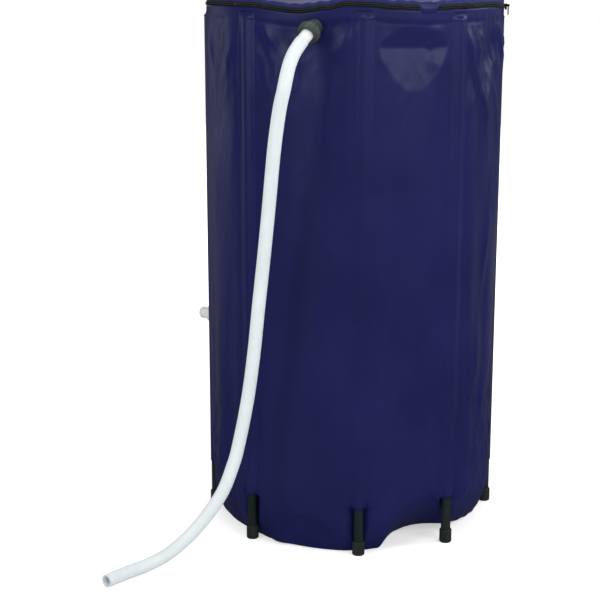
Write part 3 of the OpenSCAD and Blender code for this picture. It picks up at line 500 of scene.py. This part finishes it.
# The weld round the top: a thin line pressed in, below a slightly proud band
WELD_H, WELD_BAND_H = 756 * MM, 757.5 * MM

# The cloth's lowest face stands this far over the floor
HEM_H = 0.9 * MM


def round_table(table, column, angle):
    """A value that runs smoothly round the barrel through the table's angles."""
    knots = sorted((row[0] % 360, row[column]) for row in table)
    x = np.array([k[0] for k in knots], float)
    y = np.array([k[1] for k in knots], float)
    x = np.concatenate([[x[-1] - 360], x, [x[0] + 360]])
    y = np.concatenate([[y[-1]], y, [y[0]]])
    a = np.asarray(angle, float) % 360
    i = np.clip(np.searchsorted(x, a, side="right") - 1, 0, len(x) - 2)
    t = (a - x[i]) / (x[i + 1] - x[i])
    return y[i] + (y[i + 1] - y[i]) * smooth(t)


def rim_wave(angle, height):
    """How far the rim's waves move a point of that height up or down."""
    share = fade_in(height, RIM_WAVES_BOTTOM, WALL_TOP - RIM_WAVES_BOTTOM)
    return round_table(RIM, 1, angle) * MM * share


def rod_distance(angle):
    """Distance along the wall to the nearest rod."""
    gaps = np.stack([np.abs(angle_gap(angle, a)) for a in ROD_ANGLES])
    return np.radians(gaps.min(0)) * WALL_R


def waves(angle, height, orders, pitch, count, seed):
    """Random waves that close round the barrel.

    orders is the range of how many go round it, and pitch is their shortest length in height.
    """
    rng = np.random.default_rng(seed)
    total = np.zeros(np.broadcast(angle, height).shape)
    for _ in range(count):
        order = rng.integers(*orders)
        climb = rng.uniform(-1, 1) * 2 * math.pi / pitch
        phase = rng.uniform(0, 2 * math.pi)
        total = total + np.cos(np.radians(angle) * order + climb * height + phase)
    return total / math.sqrt(count / 2)


def folded(angle, height, orders, pitch, count, seed):
    """Random waves turned into sharp ridges between flatter facets, about as much out as in."""
    mean, crest = 0.75, 0.015
    w = waves(angle, height, orders, pitch, count, seed)
    return mean - np.sqrt(w ** 2 + crest)


def crease(angle, height, from_angle, from_h, to_angle, to_h, width, proud):
    """A ridge or valley along a segment of the wall.

    It is sharp at its crest, wider on one side, broader towards its end, and fades at both ends.
    """
    x = np.radians(angle_gap(angle, from_angle)) * WALL_R / MM
    z = height / MM - from_h
    dx, dz = math.radians(to_angle - from_angle) * WALL_R / MM, to_h - from_h
    length = math.hypot(dx, dz)
    along = (x * dx + z * dz) / length
    off = (x * dz - z * dx) / length
    fade = fade_in(along, -width, 0.4 * length + width)
    fade = fade * fade_out(along, length + width, 0.6 * length + width)
    wide = width * (1 + 0.6 * np.clip(along / length, 0, 1)) * np.where(off > 0, WIDE_SIDE, STEEP_SIDE)
    return proud * MM * fade * np.exp(-(np.sqrt(off ** 2 + CREST ** 2) - CREST) / wide)


def pocket(angle, height, middle, depth, heights):
    """How far the wall falls in at a slack pocket.

    A double cone that stands outside the wall bites a hollow into it, as in the solids, and most of a flat
    cut with the same ends is mixed in.
    """
    # The bite starts a millimetre outside the wall, and is looked for this many radians to each side
    start, widest = -1, 0.6
    phi = np.radians(angle_gap(angle, middle)) * POCKET_SPREAD
    bite = np.interp(height / MM, heights, [start, depth, start])
    centre = WALL_R / MM + POCKET_R
    inside = np.maximum((POCKET_R + bite) ** 2 - (centre * np.sin(phi)) ** 2, 0)
    hollow = centre * np.cos(phi) - np.sqrt(inside) - WALL_R / MM
    flat = (WALL_R / MM - bite) / np.cos(phi) - WALL_R / MM
    fall = POCKET_HOLLOW * hollow + (1 - POCKET_HOLLOW) * flat
    within = (np.abs(phi) < widest) & (bite > start) & (inside > 0)
    return np.where(within, np.minimum(fall, 0), 0) * MM


def tucks(angle, height):
    """How far the wall falls in inside the crescents above its hem."""
    middle_h, edge = 6, 0.22
    depth = 0
    for middle, half, top in TUCKS:
        away = np.hypot(angle_gap(angle, middle) / half, (height / MM - middle_h) / top)
        depth = depth - TUCK_DEPTH * smooth((1 - away) / edge)
    return depth


def crumples(angle, height):
    """Small sharp folds, stronger in the crumpled patches."""
    share = CRUMPLE_EVERYWHERE + sum(
        strength * np.exp(-(angle_gap(angle, at) / half_angle) ** 2 - ((height / MM - at_h) / half_h) ** 2)
        for at, at_h, half_angle, half_h, strength in CRUMPLES)
    coarse = folded(angle, height, orders=(5, 20), pitch=0.12, count=24, seed=7)
    fine = folded(angle, height, orders=(12, 44), pitch=0.05, count=24, seed=9)
    return share * MM * (1.6 * coarse + 0.7 * fine)


def folds(angle, height):
    """How far the wall's folds stand out of its round form."""
    off = rod_distance(angle)
    # The wall is held by the rods and by the rim, and slack between them
    slack = fade_in(off, 11 * MM, 34 * MM) * fade_out(height, WALL_TOP - 4 * MM, 26 * MM)
    loose = fade_in(off, 6 * MM, 14 * MM) * fade_out(height, WALL_TOP - 8 * MM, 10 * MM)
    soft = (1.1 * MM * waves(angle, height, orders=(7, 20), pitch=1.1, count=14, seed=3)
            + 0.3 * MM * waves(angle, height, orders=(14, 26), pitch=0.25, count=22, seed=5))
    flat = -1.6 * MM * fade_in(off, 0, 60 * MM)
    marks = sum(crease(angle, height, *row) for row in CREASES)
    pockets = sum(pocket(angle, height, *row) for row in POCKETS)
    return slack * (soft + flat) + loose * (marks + crumples(angle, height) + tucks(angle, height)) + pockets


def groove(angle, height):
    """How far the wall goes in behind a rod."""
    off = rod_distance(angle)
    slot = SLOT_DEPTH * np.exp(-(off / SLOT_HALF_W) ** 4)
    hollow = HOLLOW_DEPTH * np.exp(-(off / HOLLOW_HALF_W) ** 2)
    return slot + (hollow - slot) * fade_out(height, SLEEVE_BOTTOM + 6 * MM, 10 * MM)


def pleat_radius(angle, height):
    """Radius at which the foot's pleat cuts into the wall, far out where it doesn't."""
    far_out = 400
    phi = np.radians(angle_gap(angle, PLEAT_ANGLE))
    lean = math.atan((WALL_R / MM - PLEAT_IN) / PLEAT_H)
    deep = PLEAT_R / math.cos(lean)
    centre = PLEAT_IN + deep + height / MM * math.tan(lean)
    # Where a line from the axis at phi meets an ellipse with half axes deep and PLEAT_R
    a = (np.cos(phi) / deep) ** 2 + (np.sin(phi) / PLEAT_R) ** 2
    b = centre * np.cos(phi) / deep ** 2
    root = b ** 2 - a * ((centre / deep) ** 2 - 1)
    meets = (root > 0) & (np.abs(phi) < 1)
    return np.where(meets, (b - np.sqrt(np.maximum(root, 0))) / a, far_out) * MM


def wall_radius(angle, height):
    """Radius of the wall's outer face."""
    fold = folds(angle, height)
    hem = round_table(HEM, 1, angle) * MM
    lift = round_table(HEM, 2, angle) * MM
    t = np.clip((height - lift) / (DRAW_H + 0.5 * (DRAW_HEM_R - hem)), 0, 1)
    full = WALL_R + fold
    drawn = hem + (full - hem) * (1 - (1 - t) ** DRAW_POWER)
    pleat = pleat_radius(angle, height) + 0.6 * fold
    under_top = 1 - fade_in(height, SLEEVE_TOP - 3 * MM, 9 * MM)
    return np.minimum(soft_min(drawn, pleat, 14 * MM), full - groove(angle, height) * under_top)


def weld_line(height):
    """How far the weld round the top stands out."""
    band = 0.5 * fade_in(height, WELD_BAND_H, 1.5 * MM)
    line = 0.7 * np.exp(-((height - WELD_H) / (1.6 * MM)) ** 2)
    return (band - line) * MM


# ---------- Wall, sleeves and seam ----------

def tank_wall():
    """The wall and the base panel, as one cloth."""
    columns, rows, base_rows = 720, 190, 26
    crowding, pucker_height = 0.055, 1.2 * MM
    angle = np.arange(columns) * 360 / columns
    share = np.linspace(0, 1, rows)
    # Rows are closer together near the top and the hem, where the small folds are
    share = share - crowding * np.sin(2 * math.pi * share)
    hem_h = round_table(HEM, 2, angle) * MM + HEM_H
    verts, uvs = [], []
    for s in share:
        nominal = WALL_TOP - (WALL_TOP - hem_h) * s
        radius = wall_radius(angle, nominal) + weld_line(nominal)
        verts.append(polar(angle, radius, nominal + rim_wave(angle, nominal)))
        uvs.append(np.stack([np.radians(angle) * WALL_R, nominal], -1))
    hem_r = wall_radius(angle, hem_h)
    for k in range(1, base_rows + 1):
        outward = 1 - k / base_rows
        radius = hem_r * outward + 0.2 * MM
        pucker = pucker_height * (1 + waves(angle, radius, orders=(5, 15), pitch=0.12, count=12, seed=11))
        pucker = np.maximum(pucker * smooth(k / 4), 0) * outward
        verts.append(polar(angle, radius, HEM_H + (hem_h - HEM_H) * smooth(outward * 1.6 - 0.6) + pucker))
        uvs.append(np.stack([radius * np.sin(np.radians(angle)), -radius * np.cos(np.radians(angle))], -1))
    count = rows + base_rows
    faces = [face[::-1] for face in grid_faces(count, columns, wrap=True)]
    faces.append(tuple(range((count - 1) * columns, count * columns)))
    wall = make_object("wall_fabric", np.concatenate(verts), faces, pvc)
    set_uv(wall, np.concatenate(uvs))
    thicken(wall, FABRIC_T)
    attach(wall, "tank")
    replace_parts(wall, "tank_wall", "base_panel")


def wall_strip(name, s, z, angle, radius, uv_start=0.0):
    """A strip down the wall, from grids of the distance across it, height, angle and radius."""
    rows, columns = s.shape
    points = polar(angle, radius, z + rim_wave(angle, z)).reshape(-1, 3)
    strip = make_object(name, points, grid_faces(rows, columns), pvc)
    set_uv(strip, np.stack([s + uv_start, z], -1).reshape(-1, 2))
    return strip


def sleeve(number, rod):
    """A strip of fabric welded down both sides of a rod, closed at the top, its edges let into the wall."""
    half_w, tube_r = 20.4 * MM, 8.1 * MM
    # How far the strip lies over the wall, how far and how widely it bulges over the rod, and how deep its
    # edges are let in
    over, bulge, bulge_half_w, let_in, let_in_low = 0.3 * MM, 3.8 * MM, 8.8 * MM, 0.8 * MM, 0.7 * MM
    across = np.linspace(-half_w, half_w, 45)
    heights = np.concatenate([np.linspace(SLEEVE_BOTTOM, SLEEVE_TOP - 6 * MM, 130),
                              np.linspace(SLEEVE_TOP - 5 * MM, SLEEVE_TOP + 5.5 * MM, 12)])
    s, z = np.meshgrid(across, heights)
    side = np.abs(s)
    angle = rod + np.degrees(s / WALL_R)
    tube = ROD_RING_R + np.sqrt(np.maximum(tube_r ** 2 - s ** 2, 0))
    closed = fade_in(z, SLEEVE_TOP - 3 * MM, 6.5 * MM)
    web = WALL_R + folds(angle, z)
    web = web + (over + bulge * np.exp(-(s / bulge_half_w) ** 2)) * (1 - closed)
    # The welded margins taper away over the lowest few centimetres
    margin = 2 * MM + 12 * MM * fade_in(z, SLEEVE_BOTTOM, 46 * MM)
    tucked = fade_in(side, margin, 6 * MM)
    web = web + np.maximum(weld_line(z), 0) - let_in * tucked + over * (1 - tucked) * closed
    below = np.minimum(web, wall_radius(angle, z) - let_in_low)
    web = web + (below - web) * fade_in(side, 12 * MM, 8 * MM)
    # At its open end the strip closes round the rod
    end = fade_out(z, SLEEVE_BOTTOM + 14 * MM, 14 * MM)
    web = web - 3.0 * MM * end * fade_in(side, tube_r, 3 * MM)
    radius = np.where(side < tube_r, web * (1 - end) + np.minimum(web, tube + over) * end, web)
    strip = wall_strip(f"sleeve_fabric_{number}", s, z, angle, radius, uv_start=0.01)
    thicken(strip, FABRIC_T)
    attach(strip, "tank")
    return strip


def seam_strip():
    """The overlap strip down the back seam, which follows the wall's folds."""
    half_w, weld_off, weld_half_w, weld_depth = 11 * MM, 7 * MM, 1.2 * MM, 0.25 * MM
    s, z = np.meshgrid(np.linspace(-half_w, half_w, 15), np.linspace(72 * MM, 761 * MM, 150))
    angle = SEAM_ANGLE + np.degrees(s / WALL_R)
    welded = np.abs(np.abs(s) - weld_off) < weld_half_w
    radius = wall_radius(angle, z) + FABRIC_T * 0.9 - weld_depth * welded
    strip = wall_strip("seam_strip_fabric", s, z, angle, radius)
    thicken(strip, FABRIC_T * 0.8)
    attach(strip, "tank")
    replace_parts(strip, "wall_seam_strip")


tank_wall()
for sleeve_number, rod_angle in zip(ROD_NUMBERS, ROD_ANGLES):
    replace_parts(sleeve(sleeve_number, rod_angle), "rod_sleeves")


# ---------- Zip ----------

# Angle from the hinge patch's middle to where the zip's tank half and lid half start
ZIP_GAP, LID_ZIP_GAP = 3.75, 3.85
# Radii and heights of the tapes and coils, in millimetres
TAPE_IN_R, TAPE_R, TAPE_LIP_R = 217.0, 217.6, 218.7
COIL_TANK_H, COIL_LID_H = 774.85, 777.15
TAPE_TANK = [(TAPE_IN_R, 764.9), (TAPE_R, 764.9), (TAPE_R + 0.05, 773.9), (TAPE_LIP_R, 774.1),
             (TAPE_LIP_R, 775.2), (TAPE_IN_R, 775.2)]
TAPE_LID = [(TAPE_IN_R, 778.8), (TAPE_LIP_R, 778.8), (TAPE_LIP_R, 780.3), (TAPE_R + 0.05, 780.5),
            (TAPE_R, 782.0), (TAPE_IN_R, 782.0)]


def coil_outline(bottom):
    """Outline of a coil's ring, in millimetres: flat at its back and rounded in front."""
    shoulder_r, front_r = 219.8, 220.3
    return [(TAPE_IN_R, bottom + 0.05), (shoulder_r, bottom), (front_r, bottom + 0.45),
            (front_r, bottom + 1.55), (shoulder_r, bottom + 2.0), (TAPE_IN_R, bottom + 1.95)]


def teeth(phase):
    """Shapes a coil's ring: one turn stands proud in every four steps, and between turns it is cut back."""
    steps, cut = 4.0, 0.9 * MM

    def shape(index, r, z):
        tooth = 0.5 + 0.5 * np.cos(2 * math.pi * (index / steps + phase))
        middle = z.mean(1, keepdims=True)
        front = r > (r.min() + r.max()) / 2
        return np.where(front, r - cut * (1 - tooth), r), middle + (z - middle) * (0.62 + 0.38 * tooth)
    return shape


def zip_ring(name, outline, mat, body, gap, columns, shape=None):
    """A ring swept round the rim from a closed outline in millimetres, with a gap at the hinge patch."""
    angle = HINGE_ANGLE + gap + np.linspace(0, 360 - 2 * gap, columns)
    outline = np.asarray(outline, float) * MM
    sides = len(outline)
    r = np.repeat(outline[None, :, 0], columns, 0)
    z = np.repeat(outline[None, :, 1], columns, 0)
    if shape is not None:
        r, z = shape(np.arange(columns)[:, None], r, z)
    a = np.repeat(angle[:, None], sides, 1)
    z = z + rim_wave(a, np.full_like(z, WALL_TOP))
    faces = grid_faces(columns, sides, wrap=True)
    faces += [tuple(range(sides))[::-1], tuple(range((columns - 1) * sides, columns * sides))]
    ring = make_object(name, polar(a, r, z).reshape(-1, 3), faces, mat)
    set_uv(ring, np.stack([np.radians(a) * WALL_R, z], -1).reshape(-1, 2))
    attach(ring, body)
    return ring


def zip_halves():
    """The coil and the tape of the tank's half and of the lid's half."""
    coil_steps, tape_steps = 2480, 720
    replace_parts(zip_ring("zip_coil_tank_teeth", coil_outline(COIL_TANK_H), coil_plastic, "tank",
                         ZIP_GAP, coil_steps, teeth(0.0)), "zip_coil_tank")
    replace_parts(zip_ring("zip_coil_lid_teeth", coil_outline(COIL_LID_H), coil_plastic, "lid",
                         LID_ZIP_GAP, coil_steps, teeth(0.5)), "zip_coil_lid")
    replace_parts(zip_ring("zip_tape_tank_cloth", TAPE_TANK, tape_cloth, "tank",
                         ZIP_GAP, tape_steps), "zip_tape_tank")
    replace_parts(zip_ring("zip_tape_lid_cloth", TAPE_LID, tape_cloth, "lid",
                         LID_ZIP_GAP, tape_steps), "zip_tape_lid")


zip_halves()


# ---------- Lid ----------

# The slack lid's sags behind its edge, as in the solids: angle and depth, in millimetres
LID_SAGS = [(25, 5), (60, 4.5), (-60, 2.5), (110, 4), (160, 3), (205, 4.5), (250, 3)]
SAG_RING, SAG_R = 171.9, 300
# The lid's skirt, rolled edge, slope and crown, as in the solids, in millimetres
LID_SKIRT_HEIGHTS = (780.1, 781.0, 782.05)
LID_SLOPE_OUT, LID_SLOPE_IN, LID_HOLE_R = 214.5, 87.3, 70.4
LID_EDGE_H, LID_CROWN, LID_ROLL = 786.05, 5.0, 4.0


def lid_slope(radius):
    """Height of the lid's taut slope, in millimetres."""
    return LID_EDGE_H + LID_CROWN * np.clip((LID_SLOPE_OUT - radius) / (LID_SLOPE_OUT - LID_SLOPE_IN), 0, 1)


def sagged(angle, radius, height):
    """Height that the sags leave of a point of the lid, in millimetres."""
    for centre, depth in LID_SAGS:
        phi = np.radians(angle_gap(angle, centre))
        away = radius ** 2 + SAG_RING ** 2 - 2 * radius * SAG_RING * np.cos(phi)
        bowl = lid_slope(SAG_RING) + SAG_R - depth - np.sqrt(np.maximum(SAG_R ** 2 - away, 0))
        height = soft_min(height, bowl, 1.5)
    return height


def lid_rows(angle):
    """Radius and height of each ring of the lid's cloth, from its skirt inwards, in millimetres."""
    slope_rows = 48
    gather = 0.6 * waves(angle, 0, orders=(30, 80), pitch=1.0, count=16, seed=31)
    rows = [(WALL_R / MM, height) for height in LID_SKIRT_HEIGHTS]
    for turn in range(15, 91, 15):
        a = math.radians(turn)
        rows.append((LID_SLOPE_OUT + LID_ROLL * math.cos(a) + gather * math.sin(2 * a),
                     LID_EDGE_H - LID_ROLL + LID_ROLL * math.sin(a) + gather * math.sin(a)))
    for k in range(1, slope_rows + 1):
        radius = LID_SLOPE_OUT + (LID_HOLE_R - LID_SLOPE_OUT) * k / slope_rows
        t = (LID_SLOPE_OUT - radius) / (LID_SLOPE_OUT - LID_SLOPE_IN)
        off_edge = smooth(t * 9)
        pucker = (0.7 * waves(angle, radius * MM, orders=(8, 26), pitch=0.2, count=16, seed=21)
                  + 0.3 * folded(angle, radius * MM, orders=(14, 50), pitch=0.1, count=20, seed=22))
        ripple = pucker * off_edge * smooth((1 - t) / 0.45)
        rows.append((radius, lid_slope(radius) + gather * (1 - off_edge) + ripple))
    return rows


def lid_fabric():
    """The lid's cloth, whose edge follows the rim's waves."""
    columns, sags_from_r = 540, 90
    angle = np.arange(columns) * 360 / columns
    rings = []
    for radius, height in lid_rows(angle):
        radius = np.asarray(radius)
        height = np.where(radius > sags_from_r, sagged(angle, radius, height), height)
        height = height + round_table(RIM, 1, angle) * fade_in(radius, 120, 90)
        rings.append(polar(angle, radius * MM, height * MM))
    points = np.stack(rings)
    faces = grid_faces(len(rings), columns, wrap=True)
    # The lid's cloth takes the navy PVC with the painted sheen.
    lid = make_object("lid_fabric", points.reshape(-1, 3), faces, lid_pvc_painted_sheen)
    set_uv(lid, points[..., :2].reshape(-1, 2))
    thicken(lid, FABRIC_T)
    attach(lid, "lid")
    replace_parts(lid, "lid_panel")


def hinge_patch():
    """The strip of fabric that joins the lid to the tank where the zip stops."""
    half_w, bottom, edge = 14.3 * MM, 768.5 * MM, 4 * MM
    # How far the patch lies over the wall, comes back in at the lid, and is pressed in along its edges
    over, back_in, pressed = 1.3 * MM, 1.0 * MM, 1.1 * MM
    heights = np.array([768.5, 770, 772, 773.5, 774.5, 775.5, 776.5, 777, 777.5, 778.5, 779.5, 780.5, 781.5,
                        783]) * MM
    s, z = np.meshgrid(np.linspace(-half_w, half_w, 25), heights)
    angle = HINGE_ANGLE + np.degrees(s / WALL_R)
    lean = fade_in(z, 776 * MM, 7 * MM)
    bulge = 0.35 * MM * np.sin(np.clip((z / MM - 773) / 8, 0, 1) * math.pi)
    # 1 where the patch stands free, and 0 along its edges, which are pressed into the wall
    free = 1.0 - fade_in(np.abs(s), half_w - edge, edge) * (1 - lean)
    free = free * fade_in(z, bottom, edge)
    radius = WALL_R + over - back_in * lean + bulge
    radius = radius + 0.12 * MM * np.cos(s / half_w * 4) - pressed * (1 - free)
    points = polar(angle, radius, z + rim_wave(angle, np.minimum(z, WALL_TOP))).reshape(-1, 3)
    patch = make_object("hinge_fabric", points, grid_faces(*s.shape), pvc)
    set_uv(patch, np.stack([s, z], -1).reshape(-1, 2))
    thicken(patch, FABRIC_T)
    apply_modifiers(patch)
    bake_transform(patch)
    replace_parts(patch, "lid_hinge_patch")


lid_fabric()
hinge_patch()
seam_strip()


# ---------- Studio ----------

def stage_floor():
    """A floor that is white to the camera, keeps the object's shadow, and is dim in reflections."""
    size = 6
    corners = [(-size, -size, 0), (size, -size, 0), (size, size, 0), (-size, size, 0)]
    floor = make_object("floor", corners, [(0, 1, 2, 3)])
    n = Nodes(bpy.data.materials.new("floor"))
    rays = n.add("LightPath").outputs
    away = n.add("VectorMath", {0: n.place()}, operation="LENGTH").outputs["Value"]
    level = n.scaled(away, 0.5, 1.3, start=0.3, end=1.6)
    tone = n.ramp(n.noise(3, 3, n.place()), (0.3, (0.9, 0.9, 0.9)), (0.7, (0.92, 0.92, 0.92)))
    lit = n.add("BsdfPrincipled", {"Base Color": tone, "Roughness": 0.9})
    # In reflections the floor is dim in front, where the studio is dark, and brighter towards the backdrop
    depth = n.add("SeparateXYZ", {"Vector": n.place()}).outputs["Y"]
    mirrored = n.add("Emission", {"Color": WHITE, "Strength": n.scaled(depth, 0.04, 0.17, start=-0.3)})
    body = n.add("MixShader", {0: rays["Is Glossy Ray"], 1: lit.outputs[0], 2: mirrored.outputs[0]})
    shown = n.add("Math", {0: rays["Is Camera Ray"], 1: level}, operation="MULTIPLY").outputs[0]
    glow = n.add("Emission", {"Color": WHITE, "Strength": shown})
    n.show(n.add("AddShader", {0: body.outputs[0], 1: glow.outputs[0]}))
    floor.data.materials.append(n.owner)


def studio_world():
    """A world that is white to the camera, a soft light on the object, and dim in reflections."""
    scene.world = bpy.data.worlds.new("studio")
    n = Nodes(scene.world, "OutputWorld")
    rays = n.add("LightPath").outputs
    lighting, mirrored, seen = 0.36, 0.05, 1.0
    unseen = n.scaled(rays["Is Glossy Ray"], lighting, mirrored)
    level = n.scaled(rays["Is Camera Ray"], unseen, seen)
    n.show(n.add("Background", {"Color": WHITE, "Strength": level}))


def lamp(name, location, target, size, power):
    """A rectangular lamp that faces the target; size is its width and height, and power is in watts."""
    data = bpy.data.lights.new(name, "AREA")
    data.shape, data.size, data.size_y, data.energy = "RECTANGLE", size[0], size[1], power
    obj = bpy.data.objects.new(name, data)
    scene.collection.objects.link(obj)
    obj.location = location
    obj.rotation_euler = (Vector(target) - Vector(location)).to_track_quat("-Z", "Y").to_euler()


stage_floor()
studio_world()
# The lamps hang high, so that only facets tilted up mirror them and the upright wall stays dark
lamp("key", (-1.8, -1.7, 1.5), (0, 0, 0.45), (1.0, 1.8), 21)
lamp("front", (0.5, -3.2, 1.35), (0, 0, 0.5), (2.4, 1.5), 9)
lamp("side", (1.6, -1.6, 1.4), (0, 0, 0.5), (1.5, 0.8), 19)
lamp("right", (2.1, 0.4, 1.4), (0, 0, 0.3), (1.1, 0.7), 14)
lamp("right rim", (1.7, 1.5, 1.0), (0, 0, 0.5), (0.6, 1.0), 0.5)
lamp("left rim", (-1.9, 1.2, 0.9), (0, 0, 0.5), (1.0, 1.2), 2.0)
lamp("top", (0.1, -0.2, 2.4), (0, 0, 0.7), (1.6, 1.6), 14)
lamp("back", (-0.4, 2.2, 1.6), (0, 0, 0.4), (1.8, 1.4), 12)
